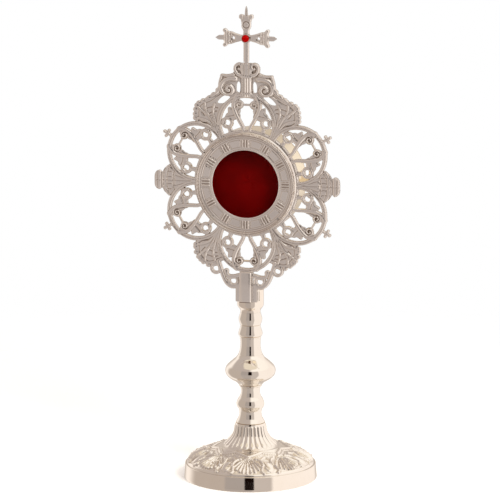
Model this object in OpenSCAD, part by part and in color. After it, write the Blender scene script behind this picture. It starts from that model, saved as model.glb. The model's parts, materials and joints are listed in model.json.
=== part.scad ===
/* [Foot] */
// Radius of the foot on the table
foot_r = 42.5; // [42:0.1:43]
// Height of the plain polished band
band_h = 9.3; // [8:0.1:10]
// Height of the seam between the foot's neck and the stem
neck_top = 35.7; // [35:0.1:37]
// Wall of the foot
foot_wall = 1.8; // [1.4:0.1:2.2]

/* [Stem] */
// Largest radius of the knop
knop_r = 16; // [15.8:0.1:16.4]
// Largest radius of the bulb under the knop
bulb_r = 8.85; // [8.6:0.05:9.1]
// Radius of the two bead rings
bead_r = 7.6; // [7.4:0.05:7.8]
// Radius of the post that carries the pierced plate
post_r = 8.5; // [8.3:0.1:8.7]
// Radius of the tie rod
rod_r = 2; // [1.8:0.1:2]

/* [Glory] */
// Height of the window's centre
glory_z = 192; // [191.5:0.1:192.5]
// Distance from the window's centre to each petal's centre
petal_pitch = 37.8; // [37.6:0.1:38]
// Outer radius of a petal ring
petal_r = 19.35; // [19.3:0.05:19.6]
// Width of a petal ring's band
band_w = 2.7; // [2.5:0.1:3]
// Thickness of the pierced plate
plate_t = 3; // [2.8:0.1:3.2]

/* [Case] */
// Radius of the window
window_r = 21.4; // [20.5:0.1:22]
// Radius of the bezel's rim
bezel_r = 31.8; // [31.6:0.1:32]
// Radius of the case drum
drum_r = 33.5; // [33.4:0.1:33.7]
// Depth of the case drum
drum_d = 18; // [17.5:0.5:20]

/* [Cross] */
// Height of the red stone's centre
gem_z = 284.2; // [284:0.1:285]
// Height of the whole object
total_h = 304.5; // [304:0.1:306]

/* [Hidden] */
$fn = 96;

// Depths, front to back along +Y, with the stem's axis at 0
plate_front = -10.5;
plate_back = plate_front + plate_t;
rib_front = plate_front - 3.6;
post_flat = -4.5;
post_back = 6.4;
drum_back = plate_back + drum_d;
door_front = drum_back + 0.3;
door_t = 1.2;
door_back = door_front + door_t;

// Stem heights, from the foot's neck up
collar_z = 59.2;
knop_z = 60.4;
knop_top = 80.2;
tube_top = 91.2;
ring_seam = 99.4;
cap_z = 107.8;
shoulder_z = 116;
post_top = 122.5;
tang_w = 7;
tang_screw_z = 119.5;
ledge_z = 21.6;
nut_h = 3.2;
rod_low = ledge_z - 7.5;
rod_top = 112.5;
rod_gap = 0.25;

// Case
annulus_r = 34;
annulus_in = 28.6;
spigot_r = 28.3;
glass_seat = plate_front + 0.6;
glass_t = 1.6;
glass_r = 26.5;
seat_r = 26.7;
retainer_t = 1.6;
drum_wall = 1.2;
case_screw_ring = 30.3;
tray_r = 27;
pad_front = -0.5;
pad_t = 3;
tray_back = pad_front + pad_t + 0.8;

// Hinge and catch
pin_x = -36.3;
pin_y = door_front + door_t / 2;
pin_r = 0.8;
pin_gap = 0.05;
knuckle_r = 1.6;
knuckle_in = 3;
knuckle_out = 8;
leaf_t = 1.1;
catch_x = 36;
catch_t = 1.2;
catch_y = door_back + 0.4;
catch_pin_r = 0.9;

silver = [0.80, 0.76, 0.71];
polished = [0.93, 0.88, 0.80];
steel = [0.62, 0.62, 0.63];

// Point at t between b and c on the smooth curve a, b, c, d
function between(a, b, c, d, t) = b + t * (c - a) / 2 + t^2 * (a - 2.5 * b + 2 * c - d / 2)
    + t^3 * (3 * b - a - 3 * c + d) / 2;
// Smooth curve through the points p, with n steps from each point to the next
function curve(p, n = 4) = let (m = len(p) - 1) concat([for (i = [0 : m - 1], k = [0 : n - 1])
    between(p[max(i - 1, 0)], p[i], p[i + 1], p[min(i + 2, m)], k / n)], [p[m]]);
// Curve c moved sideways by d
function beside(c, d) = [for (i = [0 : len(c) - 1])
    let (t = c[min(i + 1, len(c) - 1)] - c[max(i - 1, 0)]) c[i] + d * [-t.y, t.x] / norm(t)];
function backwards(c) = [for (i = [len(c) - 1 : -1 : 0]) c[i]];
function mirrored(c) = [for (p = backwards(c)) [-p.x, p.y]];

// Flat strap of width w along the curve through the points p
module strap(p, w, n = 3) {
    c = curve(p, n);
    polygon(concat(beside(c, w / 2), backwards(beside(c, -w / 2))));
}

module ring2(outer, inner) {
    difference() {
        circle(outer);
        circle(inner);
    }
}

// Turned piece: the outline (radius, height) from the bottom up, with a bore along its axis
module turned(outline, bore) {
    rotate_extrude() polygon(concat([[bore, outline[0].y]], outline,
        [[bore, outline[len(outline) - 1].y]]));
}

// Flat shape of the glory raised from depth `from` towards the front by t
module raised(from, t) {
    translate([0, from, glory_z]) rotate([90, 0, 0]) linear_extrude(t) children();
}

// Ring or disc about the window's axis, between two depths
module disc_y(r, from, to) {
    translate([0, to, glory_z]) rotate([90, 0, 0]) cylinder(r = r, h = to - from);
}

// Round bar along Y at x, z between two depths
module bar_y(x, z, r, from, to) {
    translate([x, to, z]) rotate([90, 0, 0]) cylinder(r = r, h = to - from, $fn = 32);
}

// ---- Foot and stem ----

module foot_shell() {
    dome = curve([[foot_r - 1.7, band_h + 0.3], [39.3, 11.4], [36.6, 13.6], [28, 17.6], [20, 20.8],
        [15.5, 23.3], [12.3, 26.8], [10.9, 29.2], [10.3, 31.5], [10.1, 33.8], [9.4, neck_top]], 3);
    outside = concat([[foot_r - 0.3, 0], [foot_r, 0.5], [foot_r, 1.5], [foot_r - 0.7, band_h - 0.5],
        [foot_r - 1.1, band_h]], dome);
    inside = concat([[6.4, ledge_z], [13, ledge_z]],
        backwards(curve([[39.6, band_h - 0.6], [37.4, 10.4], [35, 11.7], [27.2, 15.7], [19.4, 18.9],
            [14.4, 20.6]])),
        [[foot_r - foot_wall - 0.2, 0]]);
    color(polished) difference() {
        rotate_extrude() polygon(concat([[0, neck_top], [0, neck_top - 2.5], [6.4, neck_top - 2.5]],
            inside, outside));
        translate([0, 0, neck_top - 4]) cylinder(r = rod_r + rod_gap, h = 6);
    }
}

module lower_stem() {
    color(polished) turned(curve([[9.4, neck_top], [8.8, 36.9], [7.7, 38.9], [7.1, 40.9],
        [7.1, 42.9], [7.8, 44.9], [bulb_r - 0.1, 46.8], [bulb_r, 48.5], [8.1, 50.7], [6.9, 52.6],
        [6.15, 54.6], [6.05, 56.6], [6.4, 58.6], [6.5, collar_z]], 3), rod_r + rod_gap);
}

module knop_collar() {
    color(polished) turned(curve([[6.9, collar_z], [7.3, collar_z + 0.6], [7, knop_z]]),
        rod_r + rod_gap);
}

module knop() {
    color(polished) turned(curve([[7.4, knop_z], [9.4, 62.5], [12.7, 64.4], [14.9, 66.4],
        [knop_r - 0.1, 68.4], [knop_r, 70.2], [15.3, 72.3], [13.6, 74.2], [11.35, 76.2],
        [9, 78.2], [7.7, knop_top]], 3), rod_r + rod_gap);
}

module upper_stem() {
    color(polished) turned(curve([[7.7, knop_top], [7, 82.2], [6.65, 84], [6.45, 86], [6.45, 88],
        [6.6, 89.8], [6.8, tube_top]], 3), rod_r + rod_gap);
}

module lower_bead_ring() {
    color(polished) turned(curve([[7, tube_top], [7.4, 92.3], [bead_r + 0.15, 93.8],
        [7.2, 95.8], [6.6, 97.7], [6.4, ring_seam]]), rod_r + rod_gap);
}

module upper_bead_ring() {
    color(polished) turned(curve([[6.5, ring_seam], [7.2, 101.4], [bead_r - 0.1, 103.4],
        [7, 105.4], [6.5, 107.2], [6.4, cap_z]]), rod_r + rod_gap);
}

module stem_cap() {
    color(polished) difference() {
        rotate_extrude() polygon(concat([[0, cap_z]],
            curve([[6.4, cap_z], [6.7, 109.4], [8, 111.2], [post_r - 0.1, 112]]),
            [[post_r, 112.6], [post_r, post_top - 0.6], [post_r - 0.6, post_top], [0, post_top]]));
        translate([0, 0, cap_z - 1]) cylinder(r = rod_r + 0.05, h = rod_top + 0.5 - cap_z + 1);
        translate([-post_r - 1, -post_r - 1, shoulder_z])
            cube([2 * post_r + 2, post_r + 1 + post_flat, post_top]);
        translate([-post_r - 1, post_back, shoulder_z]) cube([2 * post_r + 2, post_r, post_top]);
        for (s = [-1, 1]) bar_y(s * 3.4, tang_screw_z, 1.3, post_flat - 1, post_back + 1);
    }
}

module tie_rod() {
    color(steel) translate([0, 0, rod_low]) cylinder(r = rod_r, h = rod_top - rod_low);
}

module clamp_washer() {
    color(steel) difference() {
        translate([0, 0, ledge_z - 1.5]) cylinder(r = 12.4, h = 1.5);
        translate([0, 0, ledge_z - 2]) cylinder(r = rod_r + 0.3, h = 3);
    }
}

module rod_nut() {
    color(steel) difference() {
        translate([0, 0, ledge_z - 1.5 - nut_h]) cylinder(r = 4.04, h = nut_h, $fn = 6);
        translate([0, 0, ledge_z - 6]) cylinder(r = rod_r + 0.04, h = 6);
    }
}

// ---- Glory ----

// One petal, drawn straight above the window's centre
module petal() {
    translate([0, petal_pitch]) ring2(petal_r, petal_r - band_w);
    for (s = [-1, 1]) scale([s, 1]) {
        difference() {
            union() {
                translate([12.4, 37.9]) circle(3.8);
                strap([[9.8, 32.4], [11.6, 36]], 2.6);
                strap([[14.6, 38.6], [18, 39.4]], 3);
                strap([[11.6, 40.6], [9.6, 43.4], [7.2, 44.6]], 3);
                polygon([[8, 42.6], [10.4, 43.2], [11.2, 46.2], [8.4, 46.4]]);
            }
            translate([12.4, 37.9]) circle(2.1);
        }
        strap([[2.7, 33], [4.4, 37.4], [7.4, 42.6], [8.6, 46.6], [7.8, 50.4], [4.8, 51.6]], 2.3);
        strap([[7.2, 50.2], [8, 53.6]], 3.4);
        translate([5, 48.6]) circle(3.1);
    }
    translate([-2.6, 48.6]) square([5.2, 1.3]);
}

// Palmette with its end block, drawn to the right
module palmette() {
    polygon(concat([[33, 0], [40, -2.2], [46, -5.5]],
        curve([[50.7, -9.9], [54, -5.6], [54.9, 0], [54, 5.6], [50.7, 9.9]]), [[46, 5.5], [40, 2.2]]));
    translate([54, -4.4]) square([3, 8.8]);
    polygon(curve([[55.8, -5.2], [57.4, -6.1], [60, -5.2], [60.3, 0], [60, 5.2], [57.4, 6.1],
        [55.8, 5.2], [55.6, 0], [55.8, -5.2]]));
}

module crosslet() {
    translate([56.4, -0.9]) square([6.4, 1.8]);
    translate([59.6, -2.3]) square([1.9, 4.6]);
}

// Everything outside the petals, above the window: shells, scrolls and vase
module crown() {
    left = concat([[-16.5, 28], [-33, 37]],
        curve([[-33.6, 41], [-33.4, 45.5], [-32.2, 49.2], [-29.3, 51.4], [-25.2, 52.8],
            [-21.8, 55.6], [-19.2, 57.3], [-18.1, 60.2], [-17.4, 63.8]], 2),
        [[-16.2, 67.4], [-12.5, 67], [-9.3, 68.8]],
        curve([[-8.4, 70.8], [-8.2, 73.8], [-6.6, 76.2], [-4.4, 76.8], [-2.6, 75.8]], 2));
    difference() {
        polygon(concat(left, mirrored(left)));
        for (a = [-60, 0, 60]) rotate(a) translate([0, petal_pitch]) circle(petal_r - 1);
        for (s = [-1, 1]) scale([s, 1]) {
            polygon([[-14.3, 55.3], [-10.4, 54.7], [-14.6, 50.7], [-19, 50.3], [-17.2, 53.1]]);
            polygon([[-6.8, 58], [-4.2, 57.5], [-3.8, 63.6], [-5.6, 64.6], [-6.6, 62.2]]);
            translate([-5.5, 71.4]) circle(0.9);
            translate([-10.3, 59]) circle(0.7);
        }
        polygon([[-16.5, 27], [16.5, 27], [0, 45]]);
    }
}

// Shells and scroll brackets below the window, and the tang
module underside() {
    for (s = [-1, 1]) scale([s, 1]) {
        difference() {
            polygon(concat([[-16.5, -28], [-33, -37]],
                curve([[-33.6, -41], [-33, -45.8], [-30, -50.4], [-25, -53.4], [-20, -52.6],
                    [-14, -49.6]], 3), [[-12, -40]]));
            for (a = [120, 180]) rotate(a) translate([0, petal_pitch]) circle(petal_r - 1);
        }
        difference() {
            union() {
                translate([-20.2, -55.1]) circle(3.7);
                translate([-8.6, -62.8]) circle(4);
                strap([[-19.4, -50.6], [-17, -55.6], [-15.2, -60.4], [-13, -64.4], [-9.4, -66.6],
                    [-5.8, -65.6]], 2.1);
                strap([[-14, -57.4], [-12.6, -59.8], [-8, -59.9], [-3.8, -59.2]], 2.4);
                translate([-13.4, -57.2]) circle(1.5);
            }
            translate([-20.2, -55.1]) circle(2.1);
            translate([-8.6, -62.8]) circle(2);
        }
    }
    translate([-4, -66]) square([8, 10]);
    translate([-tang_w, shoulder_z - glory_z]) square([2 * tang_w, 11.5]);
}

module glory_frame() {
    color(silver) difference() {
        union() {
            raised(plate_back, plate_t) {
                circle(annulus_r);
                for (a = [0 : 60 : 300]) rotate(a) petal();
                for (a = [0, 180]) rotate(a) palmette();
                for (a = [30, 150, 210, 330]) rotate(a) crosslet();
                crown();
                underside();
            }
            translate([-tang_w, plate_back - 0.01, shoulder_z])
                cube([2 * tang_w, post_flat - plate_back + 0.01, 8]);
            translate([-3.72, rib_front, shoulder_z]) cube([7.44, plate_front - rib_front + 0.1, 19.4]);
            translate([-2.6, plate_front - 1, glory_z + 59]) cube([5.2, plate_t + 1.8, 17.2]);
        }
        disc_y(annulus_in, plate_front - 1, plate_back + 1);
        translate([-1.3, plate_front, glory_z + 70.5]) cube([2.6, 2.3, 10]);
        for (s = [-1, 1]) bar_y(s * 3.4, tang_screw_z, 1.25, plate_front + 1.2, post_flat + 1);
        for (a = [45 : 90 : 315]) bar_y(case_screw_ring * cos(a), glory_z + case_screw_ring * sin(a),
            1, plate_front - 1, plate_back + 1);
    }
}

module tang_screws() {
    color(steel) for (s = [-1, 1]) {
        bar_y(s * 3.4, tang_screw_z, 1.2, plate_front + 1.5, post_back + 0.2);
        bar_y(s * 3.4, tang_screw_z, 2.2, post_back, post_back + 1.6);
    }
}

// ---- Cross ----

// Half outline of a side arm, from the middle of the cross to the spike
module side_arm() {
    difference() {
        union() {
            polygon([[0, -1.9], [3, -1.8], [9.4, -3.9], [9.4, 3.9], [3, 1.8], [0, 1.9]]);
            polygon(curve([[9.2, -4.6], [11, -5.6], [13.4, -5.7], [14.2, -4], [13.4, -2], [14.2, 0],
                [13.4, 2], [14.2, 4], [13.4, 5.7], [11, 5.6], [9.2, 4.6]], 2));
            polygon(concat([[13, -1.45]], curve([[18.4, -1.45], [19.8, 0], [18.4, 1.45]]), [[13, 1.45]]));
        }
        translate([8.1, 0]) circle(1.1);
    }
}

module upper_arm() {
    spike = total_h - gem_z;
    polygon([[-1.7, 0], [-1.7, 4.6], [-3, 7.6], [-3, 10], [3, 10], [3, 7.6], [1.7, 4.6], [1.7, 0]]);
    polygon(curve([[-3, 9.6], [-4.4, 12.4], [-4.4, 14.6], [-2.4, 14.8], [0, 14], [2.4, 14.8],
        [4.4, 14.6], [4.4, 12.4], [3, 9.6]], 2));
    polygon([[-0.7, 13], [-0.55, spike - 1.6], [0, spike], [0.55, spike - 1.6], [0.7, 13]]);
}

module cross_body() {
    front = plate_front - 1;
    color(silver) difference() {
        union() {
            translate([0, front + 2.6, gem_z]) rotate([90, 0, 0]) linear_extrude(2.6) {
                for (s = [-1, 1]) scale([s, 1]) side_arm();
                upper_arm();
                translate([-1.65, glory_z + 77.4 - gem_z]) square([3.3, gem_z - glory_z - 77.4]);
                circle(3);
            }
            translate([-1.2, plate_front + 0.1, glory_z + 71.5])
                cube([2.4, 1.5, gem_z - glory_z - 71.5]);
        }
        bar_y(0, gem_z, 2.1, front - 1, front + 1.2);
    }
}

module gem_collet() {
    front = plate_front - 1;
    color(silver) translate([0, front + 1.1, gem_z]) rotate([90, 0, 0]) rotate_extrude()
        polygon([[0, 0], [2.05, 0], [2.05, 1.3], [2.9, 1.5], [2.9, 2.1], [2.5, 2.2], [2.5, 1.8],
            [0, 1.8]]);
}

module cross_gem() {
    front = plate_front - 1;
    color([0.75, 0.03, 0.03]) translate([0, front - 0.72, gem_z]) rotate([90, 0, 0])
        rotate_extrude() polygon([[0, 0], [2.4, 0], [2.4, 0.4], [1.5, 1.2], [0, 1.3]]);
}

// ---- Case ----

module front_bezel() {
    f = plate_front;
    cove = 3.6;
    // Radius and depth in front of the plate, from the back of the spigot round to the glass seat
    profile = concat([[spigot_r, -plate_t - 0.8], [spigot_r, 0], [annulus_r - 1.4, 0],
        [annulus_r - 1.4, 0.7], [bezel_r + 0.1, 1.4]],
        curve([[bezel_r, 4.8], [bezel_r - 0.5, 5.5], [bezel_r - 1, 5], [bezel_r - 1.6, cove]]),
        [[bezel_r - 2.6, 2.4], [window_r + 1.3, 1.8]],
        curve([[window_r + 0.9, 2.4], [window_r + 0.4, 2.4], [window_r, 1.8]]),
        [[window_r, f - glass_seat], [seat_r, f - glass_seat], [seat_r, -plate_t - 0.8]]);
    color(silver) difference() {
        translate([0, f, glory_z]) rotate([90, 0, 0]) rotate_extrude() polygon(profile);
        for (a = [45 : 90 : 315]) bar_y(case_screw_ring * cos(a), glory_z + case_screw_ring * sin(a),
            0.9, f - 2.8, f + 1);
    }
}

module window_glass() {
    color([0.9, 0.95, 0.95, 0.3]) disc_y(glass_r, glass_seat, glass_seat + glass_t);
}

module glass_retainer() {
    from = glass_seat + glass_t;
    color(silver) difference() {
        disc_y(seat_r - 0.05, from, from + retainer_t);
        disc_y(23.4, from - 1, from + retainer_t + 1);
    }
}

module case_drum() {
    color(polished) difference() {
        union() {
            disc_y(drum_r, plate_back, drum_back);
            translate([drum_r - 0.8, 6, glory_z - 2.2]) cube([catch_x + 2 - drum_r + 0.8,
                catch_y - 0.1 - 6, 4.4]);
        }
        disc_y(drum_r - drum_wall, plate_back + 1, drum_back + 5);
        disc_y(drum_r + 0.5, drum_back, catch_y + 1);
        disc_y(spigot_r + 0.3, plate_back - 1, drum_back);
        for (a = [45 : 90 : 315]) bar_y(case_screw_ring * cos(a), glory_z + case_screw_ring * sin(a),
            1, plate_back - 1, plate_back + 2);
        bar_y(catch_x, glory_z, catch_pin_r, 7, catch_y + 1);
        for (s = [-1, 1]) translate([-drum_r - 1, 5, glory_z + s * 5.5]) rotate([0, 90, 0])
            cylinder(r = 0.65, h = 3, $fn = 24);
    }
}

module case_screws() {
    color(steel) for (a = [45 : 90 : 315]) {
        x = case_screw_ring * cos(a);
        z = glory_z + case_screw_ring * sin(a);
        bar_y(x, z, 0.85, plate_front - 2.5, plate_back + 1.2);
        bar_y(x, z, 1.6, plate_back + 1, plate_back + 2.4);
    }
}

// ---- Door, hinge and catch ----

module knuckle(low, high) {
    difference() {
        children();
        translate([pin_x, pin_y, glory_z + low - 1]) cylinder(r = pin_r + pin_gap, h = high - low + 2);
    }
}

module hinge_leaf() {
    color(polished) difference() {
        knuckle(-knuckle_out, knuckle_out) {
            union() {
                intersection() {
                    difference() {
                        disc_y(drum_r + leaf_t, 1.5, drum_back - 0.2);
                        disc_y(drum_r + 0.03, 0, drum_back);
                    }
                    translate([-40, 0, glory_z - knuckle_out]) cube([10, 20, 2 * knuckle_out]);
                }
                for (s = [-1, 1]) {
                    translate([pin_x, pin_y, glory_z + s * (knuckle_in + knuckle_out) / 2])
                        cylinder(r = knuckle_r, h = knuckle_out - knuckle_in, center = true);
                    translate([pin_x - 0.6, drum_back - 1.8,
                        glory_z + s * (knuckle_in + knuckle_out) / 2 - (knuckle_out - knuckle_in) / 2])
                        cube([-drum_r - 0.4 - pin_x + 0.6, 2, knuckle_out - knuckle_in]);
                }
            }
        }
        for (s = [-1, 1]) translate([-drum_r - 2, 5, glory_z + s * 5.5]) rotate([0, 90, 0])
            cylinder(r = 0.65, h = 4, $fn = 24);
    }
}

module leaf_rivets() {
    color(steel) for (s = [-1, 1]) translate([-drum_r - leaf_t - 0.5, 5, glory_z + s * 5.5])
        rotate([0, 90, 0]) {
            cylinder(r = 0.6, h = leaf_t + drum_wall + 1.2, $fn = 24);
            cylinder(r = 1.1, h = 0.6, $fn = 24);
        }
}

module hinge_pin() {
    color(steel) translate([pin_x, pin_y, glory_z]) {
        cylinder(r = pin_r, h = 2 * knuckle_out + 1.6, center = true);
        for (s = [-1, 1]) translate([0, 0, s * (knuckle_out + 0.55)])
            cylinder(r = 1.2, h = 0.7, center = true);
    }
}

module catch_screw() {
    color(steel) {
        bar_y(catch_x, glory_z, catch_pin_r - 0.05, 7.5, catch_y + catch_t + 0.2);
        bar_y(catch_x, glory_z, 1.7, catch_y + catch_t + 0.1, catch_y + catch_t + 1.2);
    }
}

module rear_door() {
    color(polished) difference() {
        union() {
            disc_y(drum_r, door_front, door_back);
            difference() {
                disc_y(drum_r - drum_wall - 0.4, door_front - 1.5, door_front + 0.1);
                disc_y(drum_r - drum_wall - 1.4, door_front - 2, door_front + 0.2);
            }
        }
        bar_y(0, glory_z, 1.3, door_front - 2, door_back + 1);
        for (x = [-31, -28]) bar_y(x, glory_z, 0.65, door_front - 2, door_back + 1);
        bar_y(24, glory_z, 1.05, door_front - 2, door_back + 1);
    }
}

module door_leaf() {
    half = knuckle_in - 0.3;
    color(polished) difference() {
        knuckle(-half, half) {
            union() {
                translate([pin_x, pin_y, glory_z])
                    cylinder(r = knuckle_r, h = 2 * half, center = true);
                translate([pin_x, door_back + 0.02, glory_z - half])
                    cube([-26 - pin_x, knuckle_r + pin_y - door_back - 0.02, 2 * half]);
            }
        }
        for (x = [-31, -28]) bar_y(x, glory_z, 0.65, door_front - 2, door_back + 3);
    }
}

module door_rivets() {
    head = pin_y + knuckle_r;
    color(steel) for (x = [-31, -28]) {
        bar_y(x, glory_z, 0.6, door_front - 0.5, head + 0.1);
        bar_y(x, glory_z, 1.1, head, head + 0.6);
    }
}

module door_knob() {
    color(polished) translate([24, door_back, glory_z]) rotate([-90, 0, 0]) rotate_extrude()
        polygon(concat([[0, -door_t - 0.4], [1, -door_t - 0.4], [1, 0], [1.9, 0], [1.2, 0.9]],
            curve([[1.2, 1.8], [2.3, 3], [2.1, 4.4], [0, 5.2]])));
}

module relic_tray() {
    color(silver) difference() {
        disc_y(tray_r, pad_front + 0.3, tray_back);
        disc_y(tray_r - 0.6, pad_front - 1, pad_front + pad_t);
        bar_y(0, glory_z, 1.3, pad_front, tray_back + 1);
    }
}

module tray_pillar() {
    color(polished) difference() {
        bar_y(0, glory_z, 3.5, tray_back, door_front);
        bar_y(0, glory_z, 1.25, tray_back - 1, door_front + 1);
    }
}

module tray_screw() {
    color(steel) {
        bar_y(0, glory_z, 1.2, tray_back - 0.6, door_back + 0.2);
        bar_y(0, glory_z, 2.2, door_back, door_back + 1.3);
    }
}

module velvet_pad() {
    color([0.5, 0, 0.02]) disc_y(tray_r - 0.7, pad_front, pad_front + pad_t - 0.02);
}

// Bar that points up, clear of the door, when the catch is open
module turn_catch() {
    color(polished) translate([catch_x, catch_y + catch_t, glory_z]) rotate([90, 0, 0]) difference() {
        union() {
            cylinder(r = 1.5, h = catch_t);
            linear_extrude(catch_t)
                polygon([[-1.3, -0.4], [-1.1, 6.6], [-0.5, 7.3], [0.5, 7.3], [1.1, 6.6], [1.3, -0.4]]);
        }
        translate([0, 0, -1]) cylinder(r = catch_pin_r + 0.02, h = catch_t + 2);
    }
}

foot_shell();
lower_stem();
knop_collar();
knop();
upper_stem();
lower_bead_ring();
upper_bead_ring();
stem_cap();
tie_rod();
clamp_washer();
rod_nut();
glory_frame();
tang_screws();
cross_body();
gem_collet();
cross_gem();
front_bezel();
window_glass();
glass_retainer();
case_drum();
case_screws();
hinge_leaf();
leaf_rivets();
hinge_pin();
catch_screw();
rear_door();
door_leaf();
door_rivets();
door_knob();
relic_tray();
tray_pillar();
tray_screw();
velvet_pad();
turn_catch();
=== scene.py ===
"""Looks of the monstrance: camera, studio, materials, and the detailed pieces over the CAD frame."""
import json
import math

import bmesh
import bpy
import numpy as np
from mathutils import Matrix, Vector


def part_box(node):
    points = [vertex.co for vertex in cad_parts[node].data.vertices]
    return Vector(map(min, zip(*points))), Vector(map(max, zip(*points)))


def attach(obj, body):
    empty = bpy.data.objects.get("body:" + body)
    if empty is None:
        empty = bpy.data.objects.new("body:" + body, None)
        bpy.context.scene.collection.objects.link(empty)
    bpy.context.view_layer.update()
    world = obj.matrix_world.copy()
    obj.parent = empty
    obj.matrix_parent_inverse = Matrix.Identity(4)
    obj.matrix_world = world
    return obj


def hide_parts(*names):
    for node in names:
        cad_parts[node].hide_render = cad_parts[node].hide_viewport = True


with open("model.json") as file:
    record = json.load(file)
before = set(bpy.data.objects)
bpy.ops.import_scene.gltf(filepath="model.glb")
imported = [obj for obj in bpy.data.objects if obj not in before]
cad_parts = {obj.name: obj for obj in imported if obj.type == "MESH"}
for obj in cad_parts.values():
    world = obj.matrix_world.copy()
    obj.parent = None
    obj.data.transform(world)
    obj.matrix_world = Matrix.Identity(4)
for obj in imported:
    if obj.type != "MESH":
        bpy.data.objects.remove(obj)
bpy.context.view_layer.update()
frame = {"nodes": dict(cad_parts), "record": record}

MM = 0.001
PITCH = 0.32  # grid of the castings' faces, in mm
TURN_STEPS = 192  # facets round a turned piece


# ---- The frame's own sizes, in millimetres ----

def node_box(node):
    low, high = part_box(node)
    return low / MM, high / MM


glory_low, glory_high = node_box("glory_frame")
bezel_low, bezel_high = node_box("front_bezel")
_, foot_high = node_box("foot_shell")
cross_low, cross_high = node_box("cross_body")
gem_low, gem_high = node_box("cross_gem")
drum_low, _ = node_box("case_drum")
pad_low, pad_high = node_box("velvet_pad")
GLORY_Z = (bezel_low.z + bezel_high.z) / 2  # height of the window's centre
GEM_Z = (gem_low.z + gem_high.z) / 2
PLATE_T = 3.0  # thickness of the pierced plate
PLATE_BACK = drum_low.y  # the drum stands on the plate's back
PLATE_FRONT = PLATE_BACK - PLATE_T
CROSS_BACK = cross_low.y + 2.6  # the cross is thinner than its tenon's depth
FOOT_R = foot_high.x
NECK_TOP = foot_high.z


# ---- Camera, studio and light ----

def linked(name, data):
    """New object in the scene that shows data."""
    obj = bpy.data.objects.new(name, data)
    bpy.context.scene.collection.objects.link(obj)
    return obj


def aim_at(obj, place, target):
    """Puts a camera or a light at place and points it at target, both in millimetres."""
    obj.location = place * MM
    obj.rotation_mode = "QUATERNION"
    obj.rotation_quaternion = (target - place).to_track_quat("-Z", "Y")


VIEW_AZIMUTH = 15.0
CAMERA_HEIGHT = 591.0
CAMERA_DISTANCE = 2300.0
CAMERA_SHIFT = -0.3  # to the camera's right
FRAME_WIDTH_MM = 317.1  # width of the view at the stem's axis
AIM_HEIGHT = 147.55


def make_camera():
    a = math.radians(VIEW_AZIMUTH)
    aside = Vector((math.cos(a), math.sin(a), 0.0)) * CAMERA_SHIFT
    place = Vector((math.sin(a) * CAMERA_DISTANCE, -math.cos(a) * CAMERA_DISTANCE, CAMERA_HEIGHT)) + aside
    aim = Vector((0.0, 0.0, AIM_HEIGHT)) + aside
    data = bpy.data.cameras.new("camera")
    data.sensor_width = 36.0
    data.lens = data.sensor_width * (place - aim).length / FRAME_WIDTH_MM
    data.clip_start, data.clip_end = 0.05, 50.0
    camera = linked("camera", data)
    aim_at(camera, place, aim)
    bpy.context.scene.camera = camera


# ---- Node helpers ----

def add_node(tree, kind, **values):
    """New node: each value sets a property of the node or, by its name, one of its inputs."""
    node = tree.nodes.new(kind)
    for key, value in values.items():
        if hasattr(node, key):
            setattr(node, key, value)
        else:
            node.inputs[key.replace("_", " ")].default_value = value
    return node


class Shader:
    """A material's node tree, with short calls to add and join nodes."""

    def __init__(self, name):
        self.material = bpy.data.materials.new(name)
        self.material.use_nodes = True
        self.tree = self.material.node_tree
        self.tree.nodes.clear()
        self.output = self.add("ShaderNodeOutputMaterial")

    def add(self, kind, **values):
        return add_node(self.tree, kind, **values)

    def join(self, source, target, out=0, into=0):
        self.tree.links.new(source.outputs[out], target.inputs[into])

    def surface(self, source):
        """The material, with source as its surface."""
        self.join(source, self.output, 0, "Surface")
        return self.material

    def noise(self, scale, detail=3.0, roughness=0.55, stretch=(1, 1, 1)):
        """Noise in the object's own metres; scale counts features per metre."""
        place = self.add("ShaderNodeTexCoord")
        mapping = self.add("ShaderNodeMapping", Scale=stretch)
        self.join(place, mapping, "Object", "Vector")
        noise = self.add("ShaderNodeTexNoise", Scale=scale, Detail=detail, Roughness=roughness)
        self.join(mapping, noise, "Vector", "Vector")
        return noise

    def ramp(self, source, stops, out=0):
        ramp = self.add("ShaderNodeValToRGB")
        elements = ramp.color_ramp.elements
        while len(elements) < len(stops):
            elements.new(0.5)
        for element, (at, colour) in zip(elements, stops):
            element.position = at
            element.color = (*colour, 1.0)
        self.join(source, ramp, out, "Fac")
        return ramp

    def bump(self, source, depth, normal=None, out=0):
        """Bump of a height of 1 in source to depth metres."""
        bump = self.add("ShaderNodeBump", Strength=1.0, Distance=depth)
        self.join(source, bump, out, "Height")
        if normal:
            self.join(normal, bump, "Normal", "Normal")
        return bump


def grey(value):
    return (value, value, value)


def metal(name, light, dark, rough, wear_and_shade, grain, grain_depth, streaks=0.0):
    """Metal that drifts from light to dark, with a fine surface and, given a second colour, darker hollows
    and seams: patina and painted shade.
    """
    s = Shader(name)
    shader = s.add("ShaderNodeBsdfPrincipled", Metallic=1.0)
    drift = s.noise(60.0, 4.0)
    colour = s.ramp(drift, [(0.3, dark), (0.7, light)])
    s.join(colour, shader, "Color", "Base Color")
    patches = s.noise(210.0, 5.0, 0.65)
    low, high = rough
    roughness = s.ramp(patches, [(0.35, grey(low)), (0.75, grey(high))])
    s.join(roughness, shader, "Color", "Roughness")
    fine = s.noise(grain, 3.0, 0.6)
    bump = s.bump(fine, grain_depth)
    if streaks:
        lines = s.noise(900.0, 2.0, 0.5, (1, 1, 14))
        bump = s.bump(lines, streaks, bump)
    s.join(bump, shader, "Normal", "Normal")
    # Patina and painted shade: the hollow attribute mixes the second colour into hollows, walls and seams
    if wear_and_shade:
        hollow = s.add("ShaderNodeAttribute", attribute_name="hollow")
        mix = s.add("ShaderNodeMix", data_type="RGBA", blend_type="MIX")
        s.join(hollow, mix, "Fac", 0)
        s.join(colour, mix, "Color", 6)
        mix.inputs[7].default_value = (*wear_and_shade, 1.0)
        s.join(mix, shader, 2, "Base Color")
    return s.surface(shader)


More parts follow.
